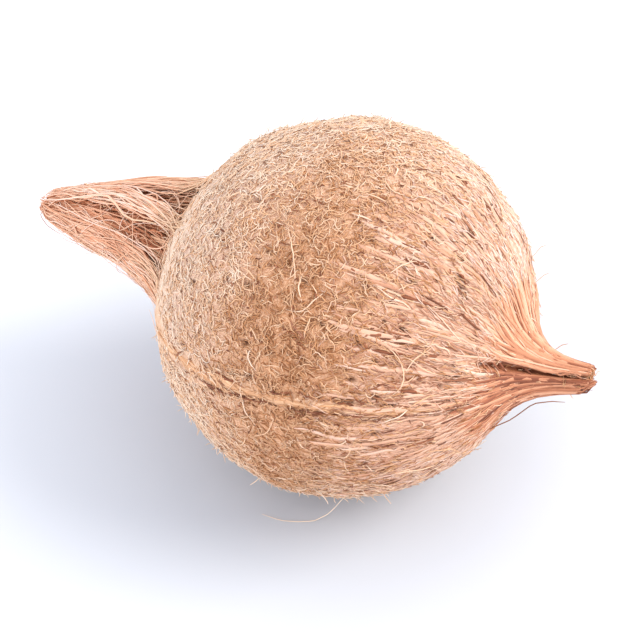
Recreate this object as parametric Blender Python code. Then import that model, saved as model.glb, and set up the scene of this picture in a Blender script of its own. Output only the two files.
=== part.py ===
"""Part-husked coconut, lying on its side on a small flat spot.

Metres, +Z up. The fruit grew as one piece, so it is one closed solid: the round nut,
the tuft of husk fibres drawn out at one end and the dry pointed tip at the other.
+X runs along the nut from the tuft to the tip. The origin is the middle of the flat
spot that the nut rests on, straight under the middle of the nut.
"""

import math
from collections import namedtuple

import bmesh
import bpy

# A spur is the cone that stands out of the nut at one end: how far it reaches from the
# nut's middle, the radius of its blunt end, how much wider it gets for each metre
# towards the nut, and the radius of the hollow curve that joins it to the nut.
Spur = namedtuple("Spur", "reach end_radius slope fillet")

# Driving dimensions, in metres unless a comment says otherwise.
NUT_RADIUS = 0.060
TUFT = Spur(reach=0.115, end_radius=0.0050, slope=0.31, fillet=0.014)
TIP = Spur(reach=0.082, end_radius=0.0040, slope=0.12, fillet=0.020)
REST_DEPTH = 0.0014          # how deep the flat spot is cut into the round nut
RIDGE_HEIGHT = 0.0008        # the three ridges that run from end to end
RIDGE_COUNT = 3
FIRST_RIDGE_ANGLE = math.radians(170.0)   # measured from +Y towards +Z
TIP_LIFT = 0.0026            # how far the tip's end bends up, and as far to +Y
TIP_BEND_START = 0.055       # the bend begins this far from the nut's middle

AROUND = 48                  # faces round the nut
ALONG = 56                   # rings from end to end
OUTLINE_STEPS = 2400         # fine steps used only to measure along the outline

CUTTER_SIDE = 0.080
CUTTER_HEIGHT = 0.020

NUT_CENTRE_HEIGHT = NUT_RADIUS - REST_DEPTH


def remove_old_objects():
    for old in list(bpy.data.objects):
        bpy.data.objects.remove(old, do_unlink=True)


def new_collection(name):
    collection = bpy.data.collections.new(name)
    bpy.context.scene.collection.children.link(collection)
    return collection


def fillet_centre(spur):
    """Centre of the circle that touches the nut and the spur's straight side."""
    lean = math.sqrt(1.0 + spur.slope**2)
    line_height = spur.end_radius + spur.slope * spur.reach + spur.fillet * lean
    span = NUT_RADIUS + spur.fillet
    root = (line_height * spur.slope) ** 2 - lean**2 * (line_height**2 - span**2)
    distance = (line_height * spur.slope + math.sqrt(root)) / lean**2
    return distance, line_height - spur.slope * distance


def blunt_end(spur, distance):
    """1 along the spur, falling to 0 over its rounded last stretch."""
    past = (distance - (spur.reach - spur.end_radius)) / spur.end_radius
    if past <= 0.0:
        return 1.0
    return max(1.0 - past**4, 0.0) ** 0.25


def outline_radius(spur, distance):
    """Radius of the fruit this far from the nut's middle, on the spur's side."""
    centre_distance, centre_radius = fillet_centre(spur)
    lean = math.sqrt(1.0 + spur.slope**2)
    nut_touch = centre_distance * NUT_RADIUS / (NUT_RADIUS + spur.fillet)
    side_touch = centre_distance - spur.fillet * spur.slope / lean
    if distance <= nut_touch:
        return math.sqrt(NUT_RADIUS**2 - distance**2)
    if distance <= side_touch:
        offset = distance - centre_distance
        return centre_radius - math.sqrt(spur.fillet**2 - offset**2)
    side = spur.end_radius + spur.slope * (spur.reach - distance)
    return side * blunt_end(spur, distance)


def outline_point(position):
    """(x, radius) on the outline; x runs from the tuft's end to the tip's end."""
    if position < 0.0:
        return position, outline_radius(TUFT, -position)
    return position, outline_radius(TIP, position)


def even_outline():
    """Points on the outline that are evenly spaced along it, one for each ring."""
    length = TUFT.reach + TIP.reach
    fine = [
        outline_point(-TUFT.reach + length * step / OUTLINE_STEPS)
        for step in range(OUTLINE_STEPS + 1)
    ]
    walked = [0.0]
    for before, after in zip(fine, fine[1:]):
        walked.append(walked[-1] + math.dist(before, after))
    points = []
    nearest = 0
    for ring in range(ALONG + 1):
        target = walked[-1] * ring / ALONG
        while nearest < OUTLINE_STEPS and walked[nearest + 1] < target:
            nearest += 1
        points.append(fine[min(nearest + 1, OUTLINE_STEPS)])
    points[0] = (-TUFT.reach, 0.0)
    points[-1] = (TIP.reach, 0.0)
    return points


def ridge_factor(angle):
    wave = math.cos(RIDGE_COUNT * (angle - FIRST_RIDGE_ANGLE))
    return 1.0 + wave * RIDGE_HEIGHT / NUT_RADIUS


def tip_bend(position):
    past = max(position - TIP_BEND_START, 0.0) / (TIP.reach - TIP_BEND_START)
    return TIP_LIFT * past**2


def make_husk_material():
    material = bpy.data.materials.new("dry_coir_husk")
    material.use_nodes = True
    principled = material.node_tree.nodes["Principled BSDF"]
    principled.inputs["Base Color"].default_value = (0.58, 0.33, 0.19, 1.0)
    principled.inputs["Roughness"].default_value = 0.85
    principled.inputs["Metallic"].default_value = 0.0
    return material


def make_coconut(collection):
    """A sphere whose rings are moved onto the outline of the fruit."""
    shape = bmesh.new()
    bmesh.ops.create_uvsphere(shape, u_segments=AROUND, v_segments=ALONG, radius=1.0)
    outline = even_outline()
    for vertex in shape.verts:
        height = min(max(vertex.co.z, -1.0), 1.0)
        ring = round((math.pi - math.acos(height)) / math.pi * ALONG)
        angle = math.atan2(vertex.co.y, vertex.co.x)
        position, radius = outline[ring]
        radius *= ridge_factor(angle)
        bend = tip_bend(position)
        vertex.co.x = position
        vertex.co.y = radius * math.cos(angle) + bend
        vertex.co.z = radius * math.sin(angle) + bend
    bmesh.ops.recalc_face_normals(shape, faces=shape.faces)
    mesh = bpy.data.meshes.new("coconut")
    shape.to_mesh(mesh)
    shape.free()
    mesh.materials.append(make_husk_material())
    mesh.shade_smooth()
    coconut = bpy.data.objects.new("coconut", mesh)
    coconut.location = (0.0, 0.0, NUT_CENTRE_HEIGHT)
    collection.objects.link(coconut)
    return coconut


def cut_rest_spot(coconut, cutters):
    """Cut the flat spot at z = 0 under the nut."""
    shape = bmesh.new()
    bmesh.ops.create_cube(shape, size=1.0)
    bmesh.ops.scale(shape, vec=(CUTTER_SIDE, CUTTER_SIDE, CUTTER_HEIGHT), verts=shape.verts)
    mesh = bpy.data.meshes.new("rest_spot_cutter")
    shape.to_mesh(mesh)
    shape.free()
    cutter = bpy.data.objects.new("rest_spot_cutter", mesh)
    cutter.location = (0.0, 0.0, -CUTTER_HEIGHT / 2.0)
    cutter.hide_render = True
    cutter.display_type = "WIRE"
    cutters.objects.link(cutter)
    cut = coconut.modifiers.new("rest_spot", "BOOLEAN")
    cut.operation = "DIFFERENCE"
    cut.object = cutter
    cut.solver = "EXACT"


def main():
    remove_old_objects()
    parts = new_collection("coconut")
    cutters = new_collection("cutters")
    coconut = make_coconut(parts)
    cut_rest_spot(coconut, cutters)


main()
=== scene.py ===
import itertools
import math
from collections import namedtuple
from functools import partial

import bmesh
import bpy
import numpy as np
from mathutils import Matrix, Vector
from mathutils.bvhtree import BVHTree


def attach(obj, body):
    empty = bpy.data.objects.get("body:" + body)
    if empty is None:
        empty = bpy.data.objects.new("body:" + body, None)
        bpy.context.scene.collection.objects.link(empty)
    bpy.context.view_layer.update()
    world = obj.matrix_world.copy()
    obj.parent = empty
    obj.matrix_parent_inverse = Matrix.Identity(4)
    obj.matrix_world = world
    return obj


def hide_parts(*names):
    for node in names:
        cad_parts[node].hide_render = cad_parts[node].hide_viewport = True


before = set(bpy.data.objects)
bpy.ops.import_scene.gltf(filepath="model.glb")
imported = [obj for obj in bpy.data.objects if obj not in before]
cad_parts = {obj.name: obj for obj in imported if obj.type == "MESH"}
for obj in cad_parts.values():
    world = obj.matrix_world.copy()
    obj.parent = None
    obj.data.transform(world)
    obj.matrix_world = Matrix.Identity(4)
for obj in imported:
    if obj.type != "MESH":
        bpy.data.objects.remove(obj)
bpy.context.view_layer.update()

# Looks of a part-husked dry coconut. Metres, in the frame of the CAD nut: +X runs along
# the nut from the tuft to the tip, +Z is up, and the floor is z = 0.
#
# The coat is a copy of the CAD nut with the relief of the husk worked into it. Over it
# lie the loose fibres of the mat, the flat woody strips that gather at the tip, the
# strands of the tuft and a few stray hairs. "Along" is the distance over the surface
# from the nut's middle, less than 0 towards the tuft. "Angle" goes round the nut from
# +Y towards +Z.

MM = 0.001

# Camera, in degrees and metres.
VIEW_AZIMUTH = 26.5
VIEW_ELEVATION = 42.0
VIEW_DISTANCE = 0.478
LENS = 85.0
AIM_RIGHT = -0.0084
AIM_UP = -0.0032

# Studio.
FLOOR_HALF_SIDE = 6.0
# Painted shade round the nut: the floor card greys towards it.
FLOOR_SHADE_REACH = (0.06, 0.28)      # the card is greyest within the first and white past the second
ROOM_STRENGTH = 1.34

# Places on the husk, along the surface from the nut's middle.
COLLAR = (-0.053, -0.041)      # the outer husk was cut away at the tuft's foot
TUFT_FOOT = -0.064
STRIPS = (0.004, 0.052)        # the mat gives way to woody strips
TIP_FOOT = 0.066
RIDGE_ANGLES = [math.radians(170.0 + 120.0 * turn) for turn in range(3)]
RIDGE_STRENGTHS = [1.0, 0.45, 0.6]
RIDGE_DRIFT = math.radians(-5.5)       # how far a ridge turns on its way to the tip
TIP_FOLD = math.radians(142.0)
LEAST_SHEEN_SIDE = math.radians(150.0)     # the side turned most towards the camera, which gets no painted sheen
MOST_BOUNCE_SIDE = math.radians(205.0)      # underneath, where the painted floor-bounce light is strongest

# The tuft's upward bow: places along it, and how far it is off the straight line there.
TUFT_BOW_PLACES = np.array([58, 68, 80, 94, 108, 124]) * MM
TUFT_BOW_RISES = np.array([0.0, 2.4, 4.0, 4.4, 3.2, 2.2]) * MM

VOXEL = 0.88 * MM              # size of a face of the coat
COAT_DEPTH = 0.8 * MM          # the coat lies this far under the CAD nut, the fibres over it
CORE_DEPTH = 3.2 * MM          # and this much further under the strands of the tuft

# Relief of the coat, at its most.
CRACK_DEPTH = 0.9 * MM
PIT_COUNT = 150
PIT_DEPTH = 1.5 * MM
SEAM_HEIGHT = 0.65 * MM        # the raised band on each ridge
SLIT_DEPTH = 0.9 * MM          # the slits beside it
RIDGE_PLACES = np.array([-60, -30, 20, 60]) * MM
RIDGE_WIDTHS = np.array([5.5, 3.2, 1.5, 1.2]) * MM
TIP_FOLD_RISE = 0.9 * MM       # the many small folds round the tip
TIP_FOLD_DEPTH = 1.9 * MM      # the one open fold
TIP_FOLD_WIDTH = 1.1 * MM

SHORT_STRANDS = 0.4            # share of the tuft's strands that start late, and that stop early
ROOT_DEPTH = 1.5               # how far the tuft's roots are sunk, in mm

# What the coat keeps for each of its points: where each finish lies, how far the fibres
# turn from the nut's length, how thick they grow, and how pale the felt is, painted sheen
# and bounce light included.
COAT_NUMBERS = ["strip", "collar", "core", "tip", "seam", "fold", "dark", "spread", "felt",
                "combed", "shade", "bleached"]

# The kinds of node that are used most.
MATHS = "ShaderNodeMath"
VECTORS = "ShaderNodeVectorMath"
MIX = "ShaderNodeMix"
READ = "GeometryNodeInputNamedAttribute"
STORE = "GeometryNodeStoreNamedAttribute"


# ---------------------------------------------------------------- small tools

def add_node(tree, kind, sockets=(), **settings):
    """Adds a node. sockets feeds its inputs: by name or number, or a list in their order."""
    made = tree.nodes.new(kind)
    for name, value in settings.items():
        setattr(made, name, value)
    pairs = sockets.items() if isinstance(sockets, dict) else enumerate(sockets)
    for key, source in pairs:
        feed(made.inputs[key], source)
    return made


def linear(hex_colour):
    """An sRGB hex colour as linear red, green, blue and alpha."""
    parts = [int(hex_colour[place:place + 2], 16) / 255.0 for place in (1, 3, 5)]
    return [
        part / 12.92 if part <= 0.04045 else ((part + 0.055) / 1.055) ** 2.4
        for part in parts
    ] + [1.0]


def feed(socket, source):
    """Gives an input a value or a hex colour, or links it to an output or to a node."""
    if isinstance(source, bpy.types.Node):
        source = next(output for output in source.outputs if output.enabled)
    if isinstance(source, bpy.types.NodeSocket):
        socket.id_data.links.new(source, socket)
    elif isinstance(source, str) and source.startswith("#"):
        socket.default_value = linear(source)
    else:
        socket.default_value = source


def smooth_step(low, high, value):
    part = np.clip((value - low) / (high - low), 0.0, 1.0)
    return part * part * (3.0 - 2.0 * part)


def lattice_value(cells, seed):
    """A number from -1 to 1 for each lattice cell, always the same for one seed."""
    mixed = cells[:, 0] * 73856093 ^ cells[:, 1] * 19349663 ^ cells[:, 2] * 83492791
    mixed = (mixed + seed * 2654435761) & 0xFFFFFFFF
    mixed = ((mixed ^ (mixed >> 15)) * 2246822519) & 0xFFFFFFFF
    mixed = ((mixed ^ (mixed >> 13)) * 3266489917) & 0xFFFFFFFF
    mixed = mixed ^ (mixed >> 16)
    return mixed / 2147483647.5 - 1.0


def noise(points, size, seed):
    """Smooth noise from -1 to 1 at each point; size is its grain, one for each axis."""
    scaled = points / np.asarray(size, float) + 1000.0
    low = np.floor(scaled).astype(np.int64)
    part = scaled - low
    part = part * part * (3.0 - 2.0 * part)
    total = np.zeros(len(points))
    for corner in itertools.product((0, 1), repeat=3):
        weight = np.prod(np.where(corner, part, 1.0 - part), axis=1)
        total += weight * lattice_value(low + corner, seed)
    return total


def any_angle(rng, shape):
    return rng.uniform(-math.pi, math.pi, shape)


def vertex_numbers(mesh, name):
    found = np.empty(len(mesh.vertices) * 3)
    mesh.vertices.foreach_get(name, found)
    return found.reshape(-1, 3)


def store_numbers(mesh, name, values):
    """Keeps one number for each vertex on the mesh under this name."""
    layer = mesh.attributes.new(name, "FLOAT", "POINT")
    layer.data.foreach_set("value", np.asarray(values, np.float32))


def new_object(name, data):
    made = bpy.data.objects.new(name, data)
    bpy.context.scene.collection.objects.link(made)
    return made


def plain_mesh(source, name):
    """The object as its modifiers leave it, as a mesh of its own with no modifiers."""
    graph = bpy.context.evaluated_depsgraph_get()
    mesh = bpy.data.meshes.new_from_object(
        source.evaluated_get(graph), preserve_all_data_layers=True, depsgraph=graph
    )
    mesh.name = name
    return mesh


# ------------------------------------------------------------ the nut's outline

Outline = namedtuple("Outline", "along x radius middle_y middle_z normal_x normal_r")


def read_outline():
    """The outline of the CAD nut, read from its rings of vertices."""
    places = vertex_numbers(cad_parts["coconut"].data, "co")
    steps, ring_of, counts = np.unique(
        np.round(places[:, 0], 5), return_inverse=True, return_counts=True
    )
    rings = [ring for ring, count in enumerate(counts) if count > np.median(counts) / 2]
    x = steps[rings]
    low = np.array([places[ring_of == ring].min(0) for ring in rings])
    high = np.array([places[ring_of == ring].max(0) for ring in rings])
    radius = (high[:, 1] - low[:, 1]) / 2.0
    middle_y = (high[:, 1] + low[:, 1]) / 2.0
    middle_z = high[:, 2] - radius
    x = np.concatenate([[places[:, 0].min()], x, [places[:, 0].max()]])
    radius = np.pad(radius, 1)
    middle_y = np.pad(middle_y, 1, mode="edge")
    middle_z = np.pad(middle_z, 1, mode="edge")
    along = np.concatenate([[0.0], np.cumsum(np.hypot(np.diff(x), np.diff(radius)))])
    along -= np.interp(0.0, x, along)
    slope_x = np.gradient(x, along)
    slope_r = np.gradient(radius, along)
    return Outline(along, x, radius, middle_y, middle_z, -slope_r, slope_x)


OUTLINE = read_outline()
NUT_MIDDLE = Vector((0.0, 0.0, float(np.interp(0.0, OUTLINE.x, OUTLINE.middle_z))))
NUT_RADIUS = float(OUTLINE.radius.max())
TUFT_END = float(OUTLINE.along[0])
TIP_END = float(OUTLINE.along[-1])


def on_outline(along, values):
    return np.interp(along, OUTLINE.along, values)


def surface_point(along, angle, height):
    """Points at this place on the smooth nut, raised by height off the surface."""
    radius = on_outline(along, OUTLINE.radius) + on_outline(along, OUTLINE.normal_r) * height
    x = on_outline(along, OUTLINE.x) + on_outline(along, OUTLINE.normal_x) * height
    y = on_outline(along, OUTLINE.middle_y) + radius * np.cos(angle)
    z = on_outline(along, OUTLINE.middle_z) + radius * np.sin(angle)
    return np.stack([x, y, z], axis=-1)


def ridge_angle(place, along):
    """Angle of the ridge that starts at this angle, at each distance along the nut."""
    return place + RIDGE_DRIFT * smooth_step(-45 * MM, 22 * MM, along)


def tuft_bow(along):
    """How far the tuft stands off the straight CAD cone, up and to the back."""
    rise = np.interp(-along, TUFT_BOW_PLACES, TUFT_BOW_RISES) * math.sqrt(0.5)
    return np.stack([np.zeros_like(rise), rise, rise], axis=-1)


def surface_place(points):
    """Along and angle of points near the nut."""
    along = np.interp(points[:, 0], OUTLINE.x, OUTLINE.along)
    y = points[:, 1] - on_outline(along, OUTLINE.middle_y)
    z = points[:, 2] - on_outline(along, OUTLINE.middle_z)
    return along, np.arctan2(z, y)


def turn_between(angle, other):
    """Signed turn from other to angle, in radians from -pi to pi."""
    return (angle - other + math.pi) % (2.0 * math.pi) - math.pi


# ---------------------------------------------------------------- camera, floor

def add_camera():
    azimuth = math.radians(VIEW_AZIMUTH)
    elevation = math.radians(VIEW_ELEVATION)
    back = Vector((
        math.sin(azimuth) * math.cos(elevation),
        -math.cos(azimuth) * math.cos(elevation),
        math.sin(elevation),
    ))
    right = Vector((math.cos(azimuth), math.sin(azimuth), 0.0))
    up = back.cross(right)
    aim = NUT_MIDDLE + right * AIM_RIGHT + up * AIM_UP
    data = bpy.data.cameras.new("studio_camera")
    data.lens = LENS
    data.clip_start = 0.01
    camera = new_object("studio_camera", data)
    camera.location = aim + back * VIEW_DISTANCE
    camera.rotation_euler = back.to_track_quat("Z", "Y").to_euler()
    bpy.context.scene.camera = camera


def add_area_light(name, place, size, power, colour):
    data = bpy.data.lights.new(name, "AREA")
    data.shape = "DISK"
    data.size = size
    data.energy = power
    data.color = linear(colour)[:3]
    light = new_object(name, data)
    light.location = place
    towards = Vector(place) - NUT_MIDDLE
    light.rotation_euler = towards.to_track_quat("Z", "Y").to_euler()


def start_material(name, roughness, gloss):
    """A material, what adds a node to it, and the inputs of its shader."""
    material = bpy.data.materials.new(name)
    material.use_nodes = True
    shader = material.node_tree.nodes["Principled BSDF"].inputs
    feed(shader["Roughness"], roughness)
    feed(shader["Specular IOR Level"], gloss)
    return material, partial(add_node, material.node_tree), shader


def add_studio():
    """A white floor, greyer near the nut as painted shade, a bright even room, one large soft
    light from the right and a low fill.
    """
    mesh = bpy.data.meshes.new("floor")
    shape = bmesh.new()
    bmesh.ops.create_grid(shape, x_segments=1, y_segments=1, size=FLOOR_HALF_SIDE)
    shape.to_mesh(mesh)
    shape.free()
    floor = new_object("floor", mesh)
    # Coated card: matt, greyer near the nut than far from it, painted shade that deepens the
    # nut's shadow.
    card, node, shader = start_material("matt_white_card", roughness=0.9, gloss=0.1)
    place = node("ShaderNodeTexCoord").outputs["Object"]
    away = node(VECTORS, [place], operation="LENGTH")
    far = node("ShaderNodeMapRange", [away, *FLOOR_SHADE_REACH])
    feed(shader["Base Color"], node(MIX, {0: far, 6: "#cbcfd4", 7: "#fbfbfb"}, data_type="RGBA"))
    mesh.materials.append(card)
    room = bpy.data.worlds.new("white_room")
    room.use_nodes = True
    backdrop = room.node_tree.nodes["Background"].inputs
    feed(backdrop["Color"], "#eff3fe")
    feed(backdrop["Strength"], ROOM_STRENGTH)
    bpy.context.scene.world = room
    add_area_light("key", (1.03, 0.38, 1.00), size=0.92, power=16.8, colour="#fffaf4")
    add_area_light("fill", (-0.50, -1.10, 0.24), size=0.9, power=6.9, colour="#f3f6ff")
    bpy.context.scene.view_settings.view_transform = "Standard"


# --------------------------------------------------------------------- coat

def remeshed_copy():
    """An even, fine copy of the CAD nut's surface."""
    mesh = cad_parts["coconut"].data.copy()
    mesh.materials.clear()
    shape = bmesh.new()
    shape.from_mesh(mesh)
    bmesh.ops.remove_doubles(shape, verts=shape.verts, dist=0.01 * MM)
    shape.to_mesh(mesh)
    shape.free()
    copy = new_object("husk_coat", mesh)
    remesh = copy.modifiers.new("even", "REMESH")
    remesh.mode = "VOXEL"
    remesh.voxel_size = VOXEL
    fine = plain_mesh(copy, "husk_coat")
    copy.modifiers.remove(remesh)
    copy.data = fine
    bpy.data.meshes.remove(mesh)
    return copy


def pit_depths(points, count, seed):
    """0 to 1 where a small pit lies between the fibres, on the mat and the strips."""
    rng = np.random.default_rng(seed)
    along = rng.uniform(COLLAR[1], TIP_FOOT, count)
    angle = any_angle(rng, count)
    middles = surface_point(along, angle, 0.0)
    sizes = rng.uniform(0.4, 1.1, count) * MM
    depth = np.zeros(len(points))
    for middle, size in zip(middles, sizes):
        away = points - middle
        near = np.flatnonzero(np.abs(away).max(1) < 4.0 * size)
        part = away[near] / (size * np.array([1.7, 1.0, 1.0]))
        depth[near] = np.maximum(depth[near], np.exp(-(part**2).sum(1)))
    return depth


def shape_coat(coat):
    """Works the relief of the husk into the coat and keeps what the materials need."""
    mesh = coat.data
    points = vertex_numbers(mesh, "co")
    normals = vertex_numbers(mesh, "normal")
    along, angle = surface_place(points)
    radius = on_outline(along, OUTLINE.radius)
    none = np.zeros(len(along))

    def wrapped(stretch, girth):
        """Places for a pattern drawn out along the nut and wrapped on this radius."""
        return np.column_stack([along / stretch, np.cos(angle) * girth, np.sin(angle) * girth])

    local = wrapped(1.0, radius)
    edge = 8.0 * MM * noise(local, 16 * MM, 1) + 5.0 * MM * noise(local, 6 * MM, 2)
    strip = smooth_step(*STRIPS, along + edge)
    collar = smooth_step(COLLAR[1], COLLAR[0], along + 0.25 * edge)
    core = smooth_step(TUFT_FOOT, TUFT_FOOT - 10 * MM, along)
    tip = smooth_step(TIP_FOOT - 7 * MM, TIP_FOOT + 5 * MM, along + 0.5 * edge)

    height = 0.7 * MM * noise(local, 24 * MM, 3) + 0.35 * MM * noise(local, 9 * MM, 4)
    height -= COAT_DEPTH
    relief = 0.28 * noise(local, 3.4 * MM, 5) + 0.30 * noise(local, 1.9 * MM, 6)
    height += (1.0 - strip) * (1.0 - 0.8 * collar) * MM * relief

    # Woody strips: long low ridges along the nut, with cracks between them.
    drift = np.column_stack([none, noise(local, 12 * MM, 7), noise(local, 12 * MM, 8)])
    woody = wrapped(7.0, NUT_RADIUS) + 1.6 * MM * drift
    ridges = 0.22 * noise(woody, 3.4 * MM, 9) + 0.14 * noise(woody, 1.6 * MM, 10)
    valley = noise(woody, 3.6 * MM, 11)
    open_crack = smooth_step(0.05, 0.45, noise(local, 8 * MM, 12))
    crack = np.exp(-((valley / 0.10) ** 2)) * open_crack * strip
    height += strip * (1.0 - 0.5 * tip) * MM * ridges - CRACK_DEPTH * crack

    # Folds where the strips gather into the tip, and the open fold along it.
    folds = noise(wrapped(6.0, 9 * MM), 3.2 * MM, 13)
    height += tip * TIP_FOLD_RISE * folds * np.clip(radius / (7 * MM), 0.35, 1.0)
    aside = turn_between(angle, TIP_FOLD) * radius
    fold = np.exp(-((aside / TIP_FOLD_WIDTH) ** 2))
    fold *= smooth_step(TIP_FOOT - 5 * MM, TIP_FOOT + 4 * MM, along)
    height -= TIP_FOLD_DEPTH * fold

    # Three ridges from end to end: a smooth raised band with slits along its sides.
    seam = none
    slit = none
    laid = np.column_stack([along, angle * NUT_RADIUS, none])
    sway = 0.7 * MM * noise(laid, (30 * MM, 400 * MM, 1.0), 14)
    width = np.interp(along, RIDGE_PLACES, RIDGE_WIDTHS)
    broken = smooth_step(0.0, 0.5, noise(local, 9 * MM, 15))
    for place, strength in zip(RIDGE_ANGLES, RIDGE_STRENGTHS):
        aside = turn_between(angle, ridge_angle(place, along)) * radius + sway
        band = np.exp(-((aside / width) ** 2)) * smooth_step(TIP_FOOT + 8 * MM, 40 * MM, along)
        seam = np.maximum(seam, band * strength * (1.0 - core))
        beside = np.exp(-(((np.abs(aside) - 1.7 * width) / (0.55 * MM)) ** 2))
        slit = np.maximum(slit, beside * broken * strength * (1.0 - collar) * (1.0 - core))
    pit = pit_depths(points, PIT_COUNT, 16) * (1.0 - core)
    height += SEAM_HEIGHT * seam - SLIT_DEPTH * slit - PIT_DEPTH * pit
    height -= CORE_DEPTH * core * np.clip(radius / (12 * MM), 0.3, 1.0)

    points += normals * height[:, None] + tuft_bow(along)
    points[:, 2] = np.maximum(points[:, 2], 0.5 * MM)
    mesh.vertices.foreach_set("co", points.ravel())
    mesh.shade_smooth()
    mesh.update()

    # Few loose fibres lie on the ridges, in the pits and fold, or inside the tuft.
    ridge = np.clip(seam * 1.3, 0.0, 1.0)
    ridge *= 0.50 + 0.35 * smooth_step(-12 * MM, -36 * MM, along)
    bare = (1.0 - fold) * (1.0 - ridge) * (1.0 - 0.7 * pit) * (1.0 - core)
    # Paler over the top and underneath: painted sheen where the fibres turn from the camera
    # and painted floor-bounce light underneath. Towards the tuft, partly painted rim light and
    # partly fibre that is really paler; a little paler over the strips.
    facing_least_sheen = np.cos(angle - LEAST_SHEEN_SIDE)
    bounce_lit = np.clip(np.cos(angle - MOST_BOUNCE_SIDE), 0.0, 1.0)
    bleached = 0.45 * (1.0 - np.clip(facing_least_sheen, 0.0, 1.0))
    bleached += (0.42 + 0.20 * bounce_lit) * smooth_step(8 * MM, -46 * MM, along)
    most = 0.50 + 0.14 * smooth_step(-0.3, 0.4, facing_least_sheen)
    bleached = np.minimum(bleached + 0.02 * strip * (1.0 - tip), most)
    shade = 0.38 + 0.08 * noise(local, 22 * MM, 17) + 0.10 * noise(local, 8 * MM, 18)
    shade += 0.12 * noise(local, 3.2 * MM, 19)
    kept = [
        strip, collar, core, tip, seam, fold,
        # Painted shade: where the cracks, slits and pits are coloured dark.
        np.clip(crack + slit + pit, 0.0, 1.0),
        np.clip(1.0 - 0.75 * smooth_step(6 * MM, 52 * MM, along), 0.12, 1.0),
        (1.0 - 0.85 * strip) * (1.0 - 0.85 * collar) * bare,
        strip * (1.0 - 0.6 * tip) * (1.0 - 0.6 * crack) * bare,
        np.clip(shade + bleached, 0.0, 0.84),
        np.clip(bleached * 1.4, 0.0, 1.0),
    ]
    for name, values in zip(COAT_NUMBERS, kept):
        store_numbers(mesh, name, values)


def make_coat_material():
    """Coir husk, dried and rubbed down.

    Short matted fibre over a brown ground gives a dull, mottled golden brown; the strips
    by the tip are paler and pinker. The ground is paler where painted sheen and bounce light
    lie; the cracks, slits, pits, the open fold and the tuft's sunk core are dark brown,
    painted shade."""
    material, node, shader = start_material("dried_coir_husk", roughness=0.85, gloss=0.25)
    place = node("ShaderNodeTexCoord").outputs["Object"]
    stretched = node("ShaderNodeMapping", {"Vector": place, "Scale": (0.1, 1.0, 1.0)})
    # Coir is about 0.2 mm thick, too fine to show, so its tangle is drawn at 0.6 mm. The
    # grain of the strips is 1.2 mm across and ten times as long. Blotches are 11 mm.
    tangle, grain, blotch = [
        node("ShaderNodeMapRange", [node("ShaderNodeTexNoise", {
            "Vector": where, "Scale": 1.0 / size, "Detail": detail, "Distortion": twist,
        }), 0.32, 0.68])
        for where, size, detail, twist in [
            (place, 0.6 * MM, 4.0, 1.2), (stretched, 1.2 * MM, 3.0, 0.0),
            (place, 11.0 * MM, 2.0, 0.0)]]
    strip_dark, strip_pale = [
        node(MIX, {0: blotch, 6: brown, 7: pink}, data_type="RGBA")
        for brown, pink in [("#c98f6e", "#d49c7a"), ("#e9c0a4", "#f0ceb8")]]
    # Each finish lies over those before it: its place, its pattern, and its darkest and
    # palest colours.
    colour = node(MIX, {0: tangle, 6: "#b47443", 7: "#ecba92"}, data_type="RGBA")
    for name, pattern, dark, pale in [
            # Painted sheen and bounce light, with real bleaching towards the tuft: a paler
            # ground.
            ("bleached", tangle, "#d8b093", "#f8e6d8"),
            ("strip", grain, strip_dark, strip_pale),
            ("collar", tangle, "#debb9c", "#f6dcc5"),
            ("seam", grain, "#d2a27c", "#edc5a2"),
            ("tip", grain, "#a5633c", "#e0a277"),
            # The tuft's sunk core: painted shade between its locks.
            ("core", grain, "#8a5230", "#c98a5c"),
            # Cracks, slits and pits: painted shade.
            ("dark", grain, "#5b3018", "#5b3018"),
            # The open fold at the tip: painted shade.
            ("fold", grain, "#7b4128", "#7b4128")]:
        share = node("ShaderNodeAttribute", attribute_name=name).outputs["Fac"]
        finish_colour = node(MIX, {0: pattern, 6: dark, 7: pale}, data_type="RGBA")
        colour = node(MIX, {0: share, 6: colour, 7: finish_colour}, data_type="RGBA")
    feed(shader["Base Color"], colour)
    share = node("ShaderNodeAttribute", attribute_name="strip").outputs["Fac"]
    height = node(MIX, {0: share, 2: tangle, 3: grain})
    feed(shader["Normal"], node("ShaderNodeBump", {
        "Strength": 0.6, "Distance": 0.5 * MM, "Height": height,
    }))
    return material


# ---------------------------------------------------------------- fibre making

def make_fibre_material(name, streaks, colours, root=None):
    """Coir fibre, dry and unspun: dull, with only a faint gloss.

    The map's first direction is the fibre's tone, from the darkest to the palest, and
    the second runs along it, so that its root can have a colour of its own."""
    material, node, shader = start_material(name, roughness=0.6, gloss=0.3)
    place = node("ShaderNodeUVMap", uv_map="OFBake")
    parts = node("ShaderNodeSeparateXYZ", [place]).outputs
    ramp = node("ShaderNodeValToRGB", [parts[0]])
    elements = ramp.color_ramp.elements
    while len(elements) < len(colours):
        elements.new(0.5)
    for number, colour in enumerate(colours):
        elements[number].position = number / (len(colours) - 1)
        elements[number].color = linear(colour)
    # Streaks along the fibre, drawn on the map: fine across it, long down it.
    stretched = node("ShaderNodeMapping", {"Vector": place, "Scale": (streaks, 3.0, 1.0)})
    streak = node("ShaderNodeTexNoise", {
        "Vector": stretched, "Scale": 1.0, "Detail": 2.0,
    }, noise_dimensions="2D")
    gain = node("ShaderNodeMapRange", [streak, 0.3, 0.7, 0.80, 1.06])
    colour = node(VECTORS, {0: ramp, "Scale": gain}, operation="SCALE")
    if root:
        past_root = node("ShaderNodeMapRange", [parts[1], 0.04, 0.34])
        colour = node(MIX, {0: past_root, 6: root, 7: colour}, data_type="RGBA")
    feed(shader["Base Color"], colour)
    return material


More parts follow.
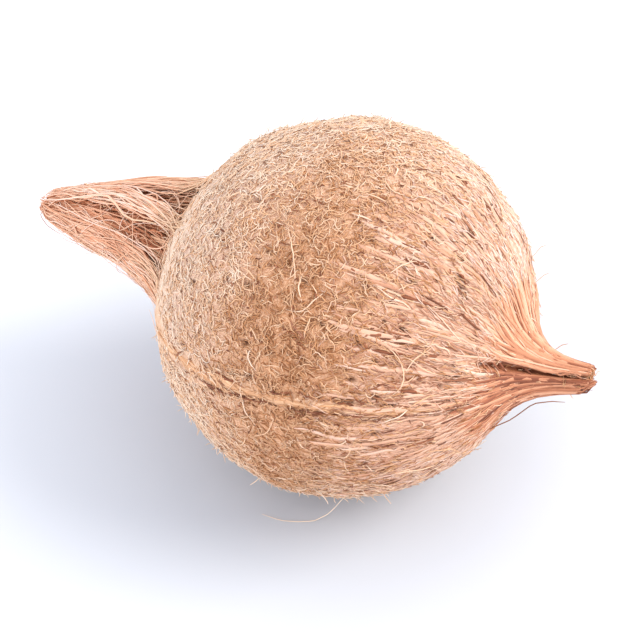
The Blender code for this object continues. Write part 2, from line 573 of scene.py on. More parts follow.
def start_tree(name, inputs):
    """A Geometry Nodes tree with these named inputs, what adds a node, and its two ends."""
    tree = bpy.data.node_groups.new(name, "GeometryNodeTree")
    tree.interface.new_socket("Geometry", in_out="INPUT", socket_type="NodeSocketGeometry")
    for label, kind in inputs.items():
        tree.interface.new_socket(label, in_out="INPUT", socket_type="NodeSocket" + kind)
    tree.interface.new_socket("Geometry", in_out="OUTPUT", socket_type="NodeSocketGeometry")
    node = partial(add_node, tree)
    return tree, node, node("NodeGroupInput").outputs, node("NodeGroupOutput").inputs[0]


def sweep_fibres(node, curves, sides, flatness, material, across):
    """Turns curves into closed fibres, lays out their map and gives them their finish.

    The curves carry "tone" and "thickness". flatness is the thickness of a fibre as a
    share of its width, and across is how much of the map one fibre takes up."""
    thickness = node(READ, ["thickness"])
    part = node("GeometryNodeSplineParameter")
    # No fibre sinks through the floor.
    lowest = node(MATHS, [thickness, 0.05 * MM], operation="ADD")
    floor = node("ShaderNodeCombineXYZ", [-1.0, -1.0, lowest])
    place = node(VECTORS, [node("GeometryNodeInputPosition"), floor], operation="MAXIMUM")
    curves = node("GeometryNodeSetPosition", {"Geometry": curves, "Position": place})
    curves = node(STORE, {"Geometry": curves, "Name": "down", "Value": part})
    ring = node("GeometryNodeCurvePrimitiveCircle", {"Resolution": sides, "Radius": 0.5})
    profile = node(STORE, {"Geometry": ring, "Name": "around", "Value": part})
    squash = node("ShaderNodeCombineXYZ", [flatness, 1.0, 1.0])
    profile = node("GeometryNodeTransform", {"Geometry": profile, "Scale": squash})
    swept = node("GeometryNodeCurveToMesh", {
        "Curve": curves, "Profile Curve": profile, "Scale": thickness, "Fill Caps": True,
    })
    share = node(MATHS, [node(READ, ["tone"]), 1.0 - across], operation="MULTIPLY")
    first = node(MATHS, [node(READ, ["around"]), across, share], operation="MULTIPLY_ADD")
    place = node("ShaderNodeCombineXYZ", [first, node(READ, ["down"])])
    swept = node(STORE, {"Geometry": swept, "Name": "OFBake", "Value": place},
                 domain="CORNER", data_type="FLOAT2")
    for name in ("down", "around", "thickness", "tone"):
        swept = node("GeometryNodeRemoveAttribute", [swept, name])
    swept = node("GeometryNodeSetShadeSmooth", [swept])
    swept = node("GeometryNodeRealizeInstances", [swept])
    return node("GeometryNodeSetMaterial", {"Geometry": swept, "Material": material})


def run_tree(tree, name, source, values):
    """Runs the tree on source and keeps the result as a plain piece of that name."""
    piece = new_object(name, source)
    modifier = piece.modifiers.new("maker", "NODES")
    modifier.node_group = tree
    for item in tree.interface.items_tree:
        if item.in_out == "INPUT" and item.name in values:
            modifier[item.identifier] = values[item.name]
    mesh = plain_mesh(piece, name)
    piece.modifiers.remove(modifier)
    piece.data = mesh
    finish(piece)


def make_mat_tree(material):
    """Scatters short curly fibres over the coat and lays each one on its surface."""
    tree, node, given, result = start_tree("mat_fibres", {
        "Density": "Float", "Shortest": "Float", "Longest": "Float", "Thickness": "Float",
        "Curl": "Float", "Curl Size": "Float", "Height": "Float", "Lift": "Float",
        "Tone": "Float", "Tone Spread": "Float", "Points": "Int", "Sides": "Int",
        "Seed": "Int", "Cover": "String",
    })
    coat = given["Geometry"]
    density = node(MATHS, [node(READ, [given["Cover"]]), given["Density"]], operation="MULTIPLY")
    spots = node("GeometryNodeDistributePointsOnFaces", {
        "Mesh": coat, "Seed": given["Seed"], "Density": density,
    }).outputs

    # Random numbers for each fibre: the kind, its first input, its range, and what keeps
    # its seed apart from the others.
    drawn = {}
    for name, kind, first, low, high, apart in [
            ("turn", "FLOAT", 2, -math.pi / 2, math.pi / 2, 11.0),
            ("length", "FLOAT", 2, 0.0, 1.0, 12.0),
            ("tone", "FLOAT", 2, -1.0, 1.0, 13.0),
            ("apart", "FLOAT_VECTOR", 0, (0.0,) * 3, (90.0,) * 3, 14.0),
            ("rise", "FLOAT", 2, 0.0, 1.0, 15.0),
            ("lean", "FLOAT", 2, 0.0, 1.0, 16.0)]:
        seed = node(MATHS, [given["Seed"], apart], operation="ADD")
        drawn[name] = node("FunctionNodeRandomValue", {
            first: low, first + 1: high, "Seed": seed,
        }, data_type=kind)

    # A straight line on each spot, turned from the nut's length by its own angle.
    points = node(STORE, {
        "Geometry": spots["Points"], "Name": "facing", "Value": spots["Normal"],
    }, data_type="FLOAT_VECTOR")
    facing = node(READ, ["facing"], data_type="FLOAT_VECTOR")
    lie = node("FunctionNodeAxesToRotation", [facing, (1.0, 0.0, 0.0)],
               primary_axis="Z", secondary_axis="X")
    turn = node(MATHS, [drawn["turn"], node(READ, ["spread"])], operation="MULTIPLY")
    turned = node("FunctionNodeAxisAngleToRotation", {"Axis": (0.0, 0.0, 1.0), "Angle": turn})
    rotation = node("FunctionNodeRotateRotation", [lie, turned], rotation_space="LOCAL")
    line = node("GeometryNodeCurvePrimitiveLine", {
        "Start": (-0.5, 0.0, 0.0), "End": (0.5, 0.0, 0.0),
    })
    line = node("GeometryNodeResampleCurve", {"Curve": line, "Count": given["Points"]})
    length = node("ShaderNodeMapRange", {
        "Value": node(MATHS, [drawn["length"], 1.8], operation="POWER"),
        "To Min": given["Shortest"], "To Max": given["Longest"],
    })
    laid = node("GeometryNodeInstanceOnPoints", {
        "Points": points, "Instance": line, "Rotation": rotation,
        "Scale": node("ShaderNodeCombineXYZ", [length, length, length]),
    })
    own = node(MATHS, [drawn["tone"], given["Tone Spread"]], operation="MULTIPLY")
    tone = node(MATHS, [node(READ, ["shade"]), own], operation="ADD")
    tone = node(MATHS, [tone, given["Tone"]], operation="ADD")
    drawn["tone"] = node("ShaderNodeClamp", [tone])
    drawn["rise"] = node(MATHS, [drawn["rise"], 4.0], operation="POWER")
    for name in ("tone", "apart", "rise", "lean"):
        laid = node(STORE, {"Geometry": laid, "Name": name, "Value": drawn[name]},
                    domain="INSTANCE", data_type="FLOAT_VECTOR" if name == "apart" else "FLOAT")
    curves = node("GeometryNodeRealizeInstances", [laid])

    # Curl: smooth noise with a place of its own for each fibre.
    scale = node(MATHS, [1.0, given["Curl Size"]], operation="DIVIDE")
    place = node(VECTORS, {0: node("GeometryNodeInputPosition"), "Scale": scale},
                 operation="SCALE")
    apart = node(READ, ["apart"], data_type="FLOAT_VECTOR")
    place = node(VECTORS, [place, apart], operation="ADD")
    wave = node("ShaderNodeTexNoise", {"Vector": place, "Scale": 1.0, "Detail": 1.0})
    middle = node(VECTORS, [wave.outputs["Color"], (0.5, 0.5, 0.5)], operation="SUBTRACT")
    curl = node(MATHS, [given["Curl"], 2.0], operation="MULTIPLY")
    bend = node(VECTORS, {0: middle, "Scale": curl}, operation="SCALE")
    curves = node("GeometryNodeSetPosition", {"Geometry": curves, "Offset": bend})

    # Lay each point on the coat, then raise it: by its layer, and more at a free end.
    near = node("GeometryNodeProximity", [coat], target_element="FACES")
    facing = node("GeometryNodeSampleNearestSurface", {
        "Mesh": coat, "Value": node("GeometryNodeInputNormal"),
    }, data_type="FLOAT_VECTOR")
    part = node("GeometryNodeSplineParameter")
    free = node(MATHS, [part, 2.0], operation="POWER")
    lift = node(MATHS, [node(READ, ["rise"]), given["Lift"]], operation="MULTIPLY")
    layer = node(MATHS, [given["Height"], node(READ, ["lean"])], operation="MULTIPLY")
    up = node(MATHS, [lift, free, layer], operation="MULTIPLY_ADD")
    raised = node(VECTORS, {0: facing, "Scale": up}, operation="SCALE")
    final = node(VECTORS, [near, raised], operation="ADD")
    curves = node("GeometryNodeSetPosition", {"Geometry": curves, "Position": final})

    # Taper: full in the middle, thin at both ends.
    centred = node(MATHS, [part, 2.0, -1.0], operation="MULTIPLY_ADD")
    outer = node(MATHS, [node(MATHS, [centred], operation="ABSOLUTE"), 3.0], operation="POWER")
    thinned = node(MATHS, [outer, -0.7, 1.0], operation="MULTIPLY_ADD")
    width = node(MATHS, [thinned, given["Thickness"]], operation="MULTIPLY")
    curves = node(STORE, {"Geometry": curves, "Name": "thickness", "Value": width})
    for name in ("facing", "apart", "rise", "lean", *COAT_NUMBERS):
        curves = node("GeometryNodeRemoveAttribute", [curves, name])
    feed(result, sweep_fibres(node, curves, given["Sides"], 1.0, material, across=0.04))
    return tree


MatLayer = namedtuple(
    "MatLayer",
    "name cover density points shortest longest thickness curl bend height lift tone seed")

# Fibres for each square metre and points for each fibre; then lengths, thickness, how
# far they curl, over what distance, and how high they lie and lift, in millimetres: from
# the lowest layer up. Real coir is 0.1 to 0.3 mm thick, too fine to show, so it is drawn
# up to twice as thick.
MAT_LAYERS = [
    MatLayer("felt_1", "felt", 205000, 5, 2.0, 5.0, 0.52, 0.9, 1.5, 0.25, 0.2, -0.20, 101),
    MatLayer("felt_2", "felt", 205000, 5, 2.0, 5.0, 0.47, 1.0, 1.5, 0.45, 0.3, -0.14, 202),
    MatLayer("felt_3", "felt", 205000, 5, 1.8, 5.0, 0.42, 1.2, 1.5, 0.60, 0.6, 0.00, 303),
    MatLayer("felt_4", "felt", 170000, 6, 1.6, 4.6, 0.38, 1.5, 1.4, 0.80, 1.0, 0.05, 404),
    MatLayer("felt_5", "felt", 115000, 7, 1.8, 6.5, 0.33, 1.9, 1.7, 1.00, 2.8, 0.10, 505),
    MatLayer("combed_1", "combed", 300000, 5, 3.0, 10.0, 0.48, 0.6, 2.2, 0.22, 0.2, -0.11, 606),
    MatLayer("combed_2", "combed", 270000, 5, 2.0, 7.0, 0.32, 0.9, 1.8, 0.45, 0.8, 0.00, 707),
]


def make_strand_tree(material, across):
    """Sweeps a fibre along each path of the source's edges.

    The source's vertices carry "tone", "thickness" and, for flat strips, "facing"."""
    tree, node, given, result = start_tree("strands", {"Sides": "Int", "Flatness": "Float"})
    curves = node("GeometryNodeMeshToCurve", [given["Geometry"]])
    curves = node("GeometryNodeSetCurveNormal", {
        "Curve": curves, "Normal": node(READ, ["facing"], data_type="FLOAT_VECTOR"),
    }, mode="FREE")
    curves = node("GeometryNodeRemoveAttribute", [curves, "facing"])
    sizes = given["Sides"], given["Flatness"]
    feed(result, sweep_fibres(node, curves, *sizes, material, across))
    return tree


def paths_to_mesh(name, paths, facings, thicknesses, tones):
    """A mesh of edges with one chain of vertices for each path."""
    count, steps = paths.shape[:2]
    first = np.arange(count * steps).reshape(count, steps)
    edges = np.stack([first[:, :-1].ravel(), first[:, 1:].ravel()], axis=1)
    mesh = bpy.data.meshes.new(name)
    mesh.from_pydata(paths.reshape(-1, 3), edges.tolist(), [])
    store_numbers(mesh, "thickness", thicknesses.ravel())
    store_numbers(mesh, "tone", np.repeat(tones, steps))
    layer = mesh.attributes.new("facing", "FLOAT_VECTOR", "POINT")
    layer.data.foreach_set("vector", facings.reshape(-1).astype(np.float32))
    return mesh


def taper(steps, start=0.35, end=0.25, power=2.5):
    """Width of a fibre down its length, as a share of its full width."""
    part = np.linspace(0.0, 1.0, steps)
    root = start + (1.0 - start) * (1.0 - (1.0 - np.clip(part * 2.0, 0.0, 1.0)) ** power)
    tip = end + (1.0 - end) * (1.0 - np.clip(part * 2.0 - 1.0, 0.0, 1.0) ** power)
    return np.minimum(root, tip)


def wander(count, steps, waves, rng):
    """Smooth sideways drift for each path: sums of a few slow waves, about -1 to 1."""
    part = np.linspace(0.0, 1.0, steps)
    total = np.zeros((count, steps))
    for wave in range(1, waves + 1):
        phase = rng.uniform(0.0, 2.0 * math.pi, (count, 1))
        size = rng.normal(0.0, 1.0, (count, 1)) / wave
        total += size * np.sin(math.pi * wave * part + phase)
    return total * 0.6


def lay_on(surface, points, heights):
    """Moves points onto the surface and raises them; returns them and the normals."""
    flat = points.reshape(-1, 3)
    laid = np.empty_like(flat)
    facing = np.empty_like(flat)
    for number, (point, height) in enumerate(zip(flat, heights.ravel())):
        place, normal, _, _ = surface.find_nearest(point)
        laid[number] = place + normal * height
        facing[number] = normal
    return laid.reshape(points.shape), facing.reshape(points.shape)


def make_strands(name, material, groups, across, sides, flatness):
    """One piece from groups of paths, the way they face, their widths and their tones."""
    joined = [np.concatenate(items) for items in zip(*groups)]
    tree = make_strand_tree(material, across)
    run_tree(tree, name, paths_to_mesh(name, *joined), {"Sides": sides, "Flatness": flatness})


def lay_along(surface, along, angles, heights):
    return lay_on(surface, surface_point(along, angles, 0.0), heights)


def strip_group(surface, rng, middles, angles, lengths, widths, tones, raised, calm=1.0, steps=8):
    """Strips that run along the nut; calm is how much each may drift and lean."""
    count = len(middles)
    part = np.linspace(-0.5, 0.5, steps)
    along = middles[:, None] + lengths[:, None] * part
    along = np.clip(along, TUFT_FOOT + 6 * MM, TIP_END - 4 * MM)
    girth = np.clip(on_outline(middles, OUTLINE.radius) / NUT_RADIUS, 0.15, 1.0)
    drift = calm * 0.9 * MM * wander(count, steps, 3, rng) / NUT_RADIUS
    lean = calm * rng.normal(0.0, 0.05, (count, 1)) * part * lengths[:, None] / NUT_RADIUS
    heights = raised[:, None] * (1.0 - np.abs(part * 2.0) ** 6)
    laid, facing = lay_along(surface, along, angles[:, None] + drift + lean, heights)
    width = (widths * girth)[:, None] * taper(steps, 0.12, 0.10, 3.0)
    return laid, facing, width, np.clip(tones, 0.0, 1.0)


def add_strips(surface, material):
    """Flat woody strips that draw together towards the tip."""
    rng = np.random.default_rng(31)
    count = 760
    spread = TIP_FOOT - STRIPS[0] - 15 * MM
    middles = STRIPS[0] + 17 * MM + spread * rng.uniform(0.0, 1.0, count) ** 0.75
    woody = strip_group(
        surface, rng, middles, any_angle(rng, count),
        rng.uniform(8.0, 30.0, count) * MM, rng.uniform(0.5, 2.1, count) * MM,
        rng.normal(0.50, 0.13, count), rng.uniform(0.0, 0.40, count) * MM)
    make_strands("woody_strips", material, [woody], across=0.20, sides=6, flatness=0.16)


def add_ridge_fibres(surface, material):
    """Short flat fibres along the three ridges."""
    rng = np.random.default_rng(33)
    groups = []
    for place, strength in zip(RIDGE_ANGLES, RIDGE_STRENGTHS):
        count = int(75 * strength)
        middles = rng.uniform(COLLAR[0] + 6 * MM, TIP_FOOT - 8 * MM, count)
        sway = rng.normal(0.0, 0.8, count) * MM / NUT_RADIUS
        groups.append(strip_group(
            surface, rng, middles, ridge_angle(place, middles) + sway,
            rng.uniform(7.0, 15.0, count) * MM, rng.uniform(0.5, 1.3, count) * MM,
            rng.normal(0.40, 0.12, count), rng.uniform(0.0, 0.18, count) * MM, calm=0.7))
    make_strands("ridge_fibres", material, groups, across=0.05, sides=6, flatness=0.3)


# Painted shade: dark specks in the gaps of the felt, then long reddish gashes between the
# woody strips: how many, where they lie along the nut, and the lowest and highest length,
# width, tone and height.
SHADE_FLECKS = [
    (700, (COLLAR[1], STRIPS[1]), (0.7, 1.9), (0.3, 0.6), (0.1, 1.0), (0.5, 0.9)),
    (90, (STRIPS[0] + 24 * MM, TIP_FOOT - 6 * MM), (4.0, 15.0), (0.5, 1.7), (0.1, 0.8),
     (0.3, 0.6)),
]


def add_crack_shade(surface, material):
    """Dark slivers laid over the surface as painted shade: in the open cracks between fibres,
    and in those beside the ridges.
    """
    rng = np.random.default_rng(37)
    count = 520
    middles = rng.uniform(COLLAR[1], TIP_FOOT, count)
    lengths = (1.2 + 4.0 * rng.uniform(0.0, 1.0, count) ** 2.5) * MM
    groups = [strip_group(
        surface, rng, middles, any_angle(rng, count), lengths,
        rng.uniform(0.25, 0.6, count) * MM, rng.uniform(0.0, 0.8, count),
        rng.uniform(0.3, 0.7, count) * MM, steps=5)]
    for count, place, length, width, tone, height in SHADE_FLECKS:
        groups.append(strip_group(
            surface, rng, rng.uniform(*place, count), any_angle(rng, count),
            rng.uniform(*length, count) * MM, rng.uniform(*width, count) * MM,
            rng.uniform(*tone, count), rng.uniform(*height, count) * MM, steps=5))
    for place, strength in zip(RIDGE_ANGLES, RIDGE_STRENGTHS):
        count = int(80 * strength)
        middles = rng.uniform(-20 * MM, TIP_FOOT - 4 * MM, count)
        side = np.where(rng.uniform(0.0, 1.0, count) < 0.6, 1.0, -1.0)
        away = side * rng.normal(2.3, 0.3, count) * MM / NUT_RADIUS
        groups.append(strip_group(
            surface, rng, middles, ridge_angle(place, middles) + away,
            rng.uniform(2.0, 7.0, count) * MM, rng.uniform(0.3, 0.65, count) * MM,
            rng.uniform(0.0, 0.7, count), rng.uniform(0.3, 0.6, count) * MM, steps=5))
    make_strands("painted_crack_shade", material, groups, across=0.05, sides=4, flatness=0.3)


def add_loose_strands(surface, material):
    """Longer pale strands that lie loose over the felt and curve as they go."""
    rng = np.random.default_rng(41)
    count, steps = 300, 12
    start = rng.uniform(COLLAR[0] + 4 * MM, TIP_FOOT - 16 * MM, count)
    forward = smooth_step(-10 * MM, 40 * MM, start)
    heading = any_angle(rng, count) * (1.0 - 0.8 * forward)
    lengths = (4.0 + 20.0 * rng.uniform(0.0, 1.0, count) ** 4) * MM
    angle = any_angle(rng, count)
    bend = rng.normal(0.0, 1.4, count)
    raised = rng.uniform(0.4, 0.9, count) * MM
    part = np.linspace(0.0, 1.0, steps)
    turn = heading[:, None] + bend[:, None] * part + 0.5 * wander(count, steps, 4, rng)
    step = lengths[:, None] / (steps - 1)
    along = start[:, None] + np.cumsum(np.cos(turn) * step, axis=1)
    girth = np.clip(on_outline(along, OUTLINE.radius), 8 * MM, 1.0)
    angles = angle[:, None] + np.cumsum(np.sin(turn) * step, axis=1) / girth
    heights = raised[:, None] * (0.35 + 0.65 * np.sin(math.pi * part) ** 2)
    laid, facing = lay_along(surface, along, angles, heights)
    widths = (rng.uniform(0.28, 0.50, count) * MM)[:, None] * taper(steps, 0.3, 0.25, 2.5)
    tones = rng.uniform(0.5, 0.95, count)
    make_strands("loose_strands", material, [(laid, facing, widths, tones)],
                 across=0.05, sides=5, flatness=0.8)


# One side of the tip: from and to this angle in degrees, how many strips, how far they
# stand out at the foot and at the end, how far before the tip's foot they can start, how
# far before the tip's end they stop, all in mm, how pale they are and how much that varies.
TIP_SIDES = [
    (20, 100, 190, 0.9, 1.2, 9, 5, 0.56, 0.15),
    (100, 133, 80, 0.9, 1.6, 7, 5, 0.60, 0.14),
    # The strips lying in the open fold are nearly the darkest: painted shade of the fold.
    (134, 154, 26, 0.2, 0.3, 2, 5, 0.10, 0.08),
    (151, 190, 90, 0.5, 0.7, 10, 3, 0.30, 0.17),
    (190, 232, 90, 0.4, 1.8, 10, 0.5, 0.22, 0.16),
    (232, 380, 220, 0.6, 1.1, 8, 4, 0.50, 0.18),
]


def add_tip(surface, material):
    """Dry strips gathered into the pointed tip, with an open fold on one side."""
    rng = np.random.default_rng(47)
    steps = 10
    part = np.linspace(0.0, 1.0, steps)
    groups = []
    for low, high, count, out_foot, out_end, before, short, tone, varies in TIP_SIDES:
        angle = np.radians(rng.uniform(low, high, count))
        early = rng.uniform(0.0, 1.0, count)
        start = TIP_FOOT + (3.0 - (before + 6.0) * early) * MM
        end = TIP_END - (short + np.abs(rng.normal(0.0, 1.2, count))) * MM
        along = start[:, None] + (end - start)[:, None] * part
        angles = angle[:, None] + 0.10 * wander(count, steps, 3, rng)
        out = out_foot + (out_end - out_foot) * smooth_step(0.4, 1.0, part)
        heights = rng.uniform(0.1, 1.0, (count, 1)) * out * MM * smooth_step(0.0, 0.4, part)
        laid, facing = lay_along(surface, along, angles, heights)
        widths = (rng.uniform(0.4, 1.5, count) * MM)[:, None] * taper(steps, 0.15, 0.5, 2.0)
        tones = rng.normal(tone, varies, count) + 0.42 * early**2
        groups.append((laid, facing, widths, np.clip(tones, 0.0, 1.0)))
    make_strands("tip_strips", material, groups, across=0.20, sides=6, flatness=0.24)


# A lock of the tuft: its angle at the foot and at the end in degrees, how far it stands
# out from the CAD tuft at its foot, middle and end in mm, how wide it fans at the foot
# and at the end in degrees, how far it stops short of the end in mm, how many strands it
# has and how pale they are.
Lock = namedtuple(
    "Lock", "foot end out_foot out_middle out_end fan_foot fan_end short strands tone")

# The locks sunk deepest into the tuft have the lowest tones: painted shade of its hollows.
LOCKS = [
    Lock(44, 58, 0.6, 0.4, 0, 12, 24, 6, 150, 0.66),
    Lock(68, 80, 0.2, 0.4, 0.2, 7, 20, 6.5, 110, 0.72),
    Lock(122, 90, 0.8, 1, 0.4, 5, 18, 6, 90, 0.82),
    Lock(98, 112, -3.2, -2.8, -0.8, 12, 22, 6, 70, 0.32),
    Lock(132, 130, -5.5, -3.4, -1.4, 10, 20, 8, 70, 0.26),
    Lock(150, 138, -4, -2.2, -0.2, 9, 20, 2, 90, 0.36),
    Lock(168, 150, -0.5, -0.7, 0, 7, 22, 1.5, 110, 0.72),
    Lock(186, 168, 0, -1, -0.4, 8, 22, 2, 110, 0.78),
    Lock(202, 190, 0, -1.6, -0.8, 6, 22, 2.5, 90, 0.76),
    Lock(212, 206, -4.5, -3.4, -0.8, 8, 16, 4, 40, 0.20),
    Lock(229, 222, 0, -2.2, -1, 6, 20, 4, 80, 0.72),
    Lock(250, 246, -0.8, -2, -1, 8, 22, 4, 80, 0.48),
    Lock(270, 270, -1, -1.6, -0.8, 9, 22, 4, 90, 0.50),
    Lock(292, 296, 0, -0.6, -0.4, 8, 22, 6, 90, 0.60),
    Lock(314, 320, -2.5, -1.6, -0.4, 8, 22, 5, 60, 0.38),
    Lock(334, 342, 0, 0, 0, 8, 22, 4, 90, 0.62),
    Lock(358, 368, 0.2, 0.2, 0, 9, 22, 5, 100, 0.56),
    Lock(22, 32, -0.2, 0.4, 0, 10, 22, 6, 110, 0.62),
]


def tuft_group(rng, along, angles, heights, widths, tones, *shape):
    """Strands of the tuft that lie there, with their flat sides outwards. widths is the
    least and the most in mm, tones the mean and the spread, and shape is the taper's."""
    count, steps = along.shape
    paths = surface_point(along, angles, heights) + tuft_bow(along)
    outward = surface_point(along, angles, heights + MM) + tuft_bow(along) - paths
    facings = outward / np.linalg.norm(outward, axis=-1, keepdims=True)
    width = (rng.uniform(*widths, count) * MM)[:, None] * taper(steps, *shape)
    return paths, facings, width, np.clip(rng.normal(*tones, count), 0.0, 1.0)


def inner_strands(rng, steps, count):
    """Strands inside the tuft, that fill its cut end."""
    part = np.linspace(0.0, 1.0, steps)
    start = rng.uniform(TUFT_END + 30 * MM, TUFT_END + 42 * MM, count)
    end = TUFT_END + rng.uniform(1.5, 6.0, count) * MM
    along = start[:, None] + (end - start)[:, None] * part
    girth = np.clip(on_outline(along, OUTLINE.radius), 5.2 * MM, 1.0)
    depth = rng.uniform(0.25, 0.95, (count, 1)) * girth
    angles = any_angle(rng, (count, 1)) + 0.3 * wander(count, steps, 4, rng)
    heights = girth - on_outline(along, OUTLINE.radius) - depth
    return tuft_group(rng, along, angles, heights, (0.35, 0.8), (0.45, 0.18), 0.5, 0.6)


def lock_strands(lock, rng, steps):
    """Paths, facings, widths and tones of one lock's strands."""
    count = lock.strands
    part = np.linspace(0.0, 1.0, steps)
    root = TUFT_FOOT + 12 * MM
    whole = TUFT_END + lock.short * MM - root
    # Two strands in five start or stop part of the way down.
    late = rng.uniform(0.0, 1.0, count) < SHORT_STRANDS
    first = np.where(late, rng.uniform(0.05, 0.6, count), 0.0)
    first += rng.uniform(0.0, 0.20, count)
    broken = rng.uniform(0.0, 1.0, count) < SHORT_STRANDS
    last = 1.0 - np.where(broken, rng.uniform(0.0, 0.5, count), 0.0)
    last -= np.abs(rng.normal(0.0, 0.03, count))
    down = first[:, None] + (last - first)[:, None] * part
    along = root + whole * down
    foot, end, fan_foot, fan_end = np.radians([lock.foot, lock.end, lock.fan_foot, lock.fan_end])
    side = rng.normal(0.0, 0.5, (count, 1))
    waves = 1.15 * wander(count, steps, 6, rng)
    fan = fan_foot + (fan_end - fan_foot) * down**2
    angles = foot + (end - foot) * smooth_step(0.1, 1.0, down) + fan * (side + waves)
    out = np.interp(down, [0.0, 0.5, 1.0], [lock.out_foot, lock.out_middle, lock.out_end])
    depth = np.abs(rng.normal(0.0, 1.0, (count, 1))) * (1.0 - 0.5 * side**2)
    heights = out * smooth_step(0.0, 0.22, down) - depth * smooth_step(0.02, 0.3, down)
    heights += 0.7 * wander(count, steps, 5, rng)
    heights -= ROOT_DEPTH * (1.0 - smooth_step(0.0, 0.16, down))
    return tuft_group(rng, along, angles, heights * MM, (0.28, 0.90), (lock.tone, 0.15),
                      0.4, 0.45, 2.0)


def crossing_strands(rng, steps, count):
    """Loose strands that wander over the tuft from lock to lock."""
    part = np.linspace(0.0, 1.0, steps)
    start = rng.uniform(TUFT_END + 14 * MM, TUFT_FOOT + 16 * MM, count)
    heading = math.pi + rng.normal(0.0, 0.5, count)
    length = rng.uniform(8.0, 28.0, count) * MM
    turn = heading[:, None] + rng.normal(0.0, 1.3, (count, 1)) * (part - 0.5)
    turn = turn + 0.30 * wander(count, steps, 3, rng)
    step = length[:, None] / (steps - 1)
    along = start[:, None] + np.cumsum(np.cos(turn) * step, axis=1)
    along = np.maximum(along, TUFT_END + 3 * MM)
    girth = np.clip(on_outline(along, OUTLINE.radius), 5 * MM, 1.0)
    angles = any_angle(rng, (count, 1)) + np.cumsum(np.sin(turn) * step, 1) / girth
    out = rng.uniform(-2.0, 0.3, (count, 1)) + 0.5 * wander(count, steps, 3, rng)
    # A few of them stand off the tuft.
    loose = rng.uniform(0.0, 1.0, (count, 1)) < 0.06
    out = out + np.where(loose, rng.uniform(1.0, 4.0, (count, 1)), 0.0) * part**1.5
    return tuft_group(rng, along, angles, out * MM, (0.20, 0.42), (0.80, 0.16))


# Each stray hair: its thickness, its tone and points along it, in mm, in the nut's frame.
STRAYS = [
    (0.34, 1.00, [(16, -32, 11), (12, -36, 4), (7.6, -38.5, 0.5), (3, -41, 0.4),
                  (-2.1, -43, 0.4), (-8.8, -43.3, 0.4)]),
    (0.32, 0.95, [(-5, -44, 26), (-7, -49.5, 23.4), (-8.3, -51, 22.5)]),
    (0.30, 0.70, [(28, -33, 22), (30.6, -34.6, 19.9), (32.9, -35.2, 18.5)]),
    (0.26, 0.50, [(49, 30.5, 75), (50.7, 33.9, 77.6), (51.9, 34.9, 78)]),
    (0.26, 0.50, [(52, 25.5, 69), (54.1, 29, 71.1), (55.4, 30.1, 71.6)]),
    (0.28, 0.40, [(67, 5.5, 64.3), (68.6, 6.6, 66), (70.4, 7.2, 66.8)]),
    (0.36, 0.00, [(54.5, -15, 42.5), (60.4, -9, 44.6), (64.4, -1.3, 46.3), (69, 2.3, 46.1),
                  (72.7, 4.7, 45.2)]),
]


def add_strays(material):
    """Single hairs that have come loose; one of them trails on the floor."""
    steps = 14
    paths = []
    for _, _, points in STRAYS:
        given = np.array(points) * MM
        spots = np.linspace(0.0, len(given) - 1.0, steps)
        axes = [np.interp(spots, range(len(given)), axis) for axis in given.T]
        paths.append(np.stack(axes, 1))
    paths = np.array(paths)
    facings = np.broadcast_to([0.0, 0.0, 1.0], paths.shape)
    widths = np.array([stray[0] for stray in STRAYS])[:, None] * MM * taper(steps, 0.9, 0.4)
    tones = np.array([stray[1] for stray in STRAYS])
    make_strands("stray_hairs", material, [(paths, facings, widths, tones)],
                 across=0.05, sides=5, flatness=1.0)


def add_tuft(material):
    """The husk fibres drawn out into a tuft, in locks with dark gaps between them."""
    rng = np.random.default_rng(59)
    steps = 12
    groups = [lock_strands(lock, rng, steps) for lock in LOCKS]
    groups.append(crossing_strands(rng, steps, count=320))
    groups.append(inner_strands(rng, steps, count=170))
    make_strands("tuft_strands", material, groups, across=0.05, sides=4, flatness=0.7)


def finish(piece):
    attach(piece, "root")


def add_mat(coat, materials):
    """The felt and the combed fibres, layer by layer."""
    trees = {cover: make_mat_tree(material) for cover, material in materials.items()}
    for layer in MAT_LAYERS:
        run_tree(trees[layer.cover], layer.name, coat.data.copy(), {
            "Cover": layer.cover, "Density": float(layer.density),
            "Shortest": layer.shortest * MM, "Longest": layer.longest * MM,
            "Thickness": layer.thickness * MM, "Curl": layer.curl * MM,
            "Curl Size": layer.bend * MM, "Height": layer.height * MM,
            "Lift": layer.lift * MM, "Tone": layer.tone, "Tone Spread": 0.22,
            "Points": layer.points, "Sides": 3, "Seed": layer.seed,
        })


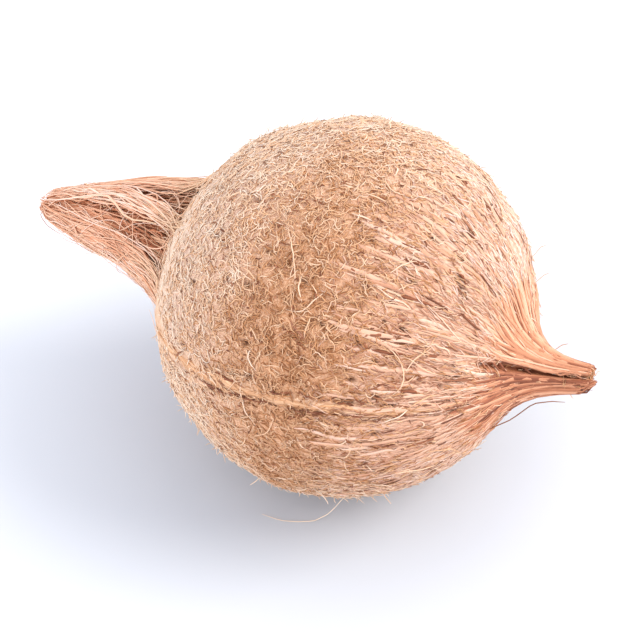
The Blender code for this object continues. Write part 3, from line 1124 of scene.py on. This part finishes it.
# How fine each finish's streaks are, its colours from the darkest to the palest, and, where
# it differs, the colour of its roots.
FIBRE_LOOKS = {
    # Felt of short loose fibres: golden brown, uneven, paler where painted sheen and bounce
    # light, and the real bleaching towards the tuft, raise its tone.
    "dry_coir_fibre": (40.0, ["#925830", "#c68b5d", "#e4b48a", "#f3d0b0", "#fbe4cc"]),
    # Husk split into flat strips: pinker and paler, with a fine straight grain.
    "dry_woody_coir_strip": (60.0, ["#b07052", "#d39b7b", "#e4b698", "#f0cab3", "#f9ddcd"]),
    # Fibres drawn out long and straight: warm, deep brown where they lie in shade.
    "long_combed_coir": (
        40.0, ["#884c30", "#bd744d", "#e0a07a", "#f4c2a0", "#fedfca"], "#e6c09a"),
    # Husk dried hard and tight: the reddest and darkest.
    "dry_tip_sheath": (60.0, ["#5c3021", "#99583c", "#c98662", "#e8ab86", "#f7ceb3"]),
    # The shaded inside of a crack.
    "crack_shade_coir": (20.0, ["#633622", "#935638", "#bb8462"]),
    # Fibres that lie flat between the strips: pale, pinkish and nearly smooth.
    "pale_combed_coir": (40.0, ["#a5684c", "#cb9577", "#e4ba9f", "#f3d3c0", "#fbe8dd"]),
}


def main():
    add_camera()
    add_studio()
    coat = remeshed_copy()
    shape_coat(coat)
    coat.data.materials.append(make_coat_material())
    looks = {name: make_fibre_material(name, *look) for name, look in FIBRE_LOOKS.items()}
    surface = BVHTree.FromPolygons(
        [vertex.co for vertex in coat.data.vertices],
        [tuple(face.vertices) for face in coat.data.polygons])
    add_strips(surface, looks["dry_woody_coir_strip"])
    add_ridge_fibres(surface, looks["dry_coir_fibre"])
    add_crack_shade(surface, looks["crack_shade_coir"])
    add_loose_strands(surface, looks["dry_coir_fibre"])
    add_strays(looks["dry_coir_fibre"])
    add_tip(surface, looks["dry_tip_sheath"])
    add_tuft(looks["long_combed_coir"])
    add_mat(coat, {"felt": looks["dry_coir_fibre"], "combed": looks["pale_combed_coir"]})
    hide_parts("coconut")
    finish(coat)


main()
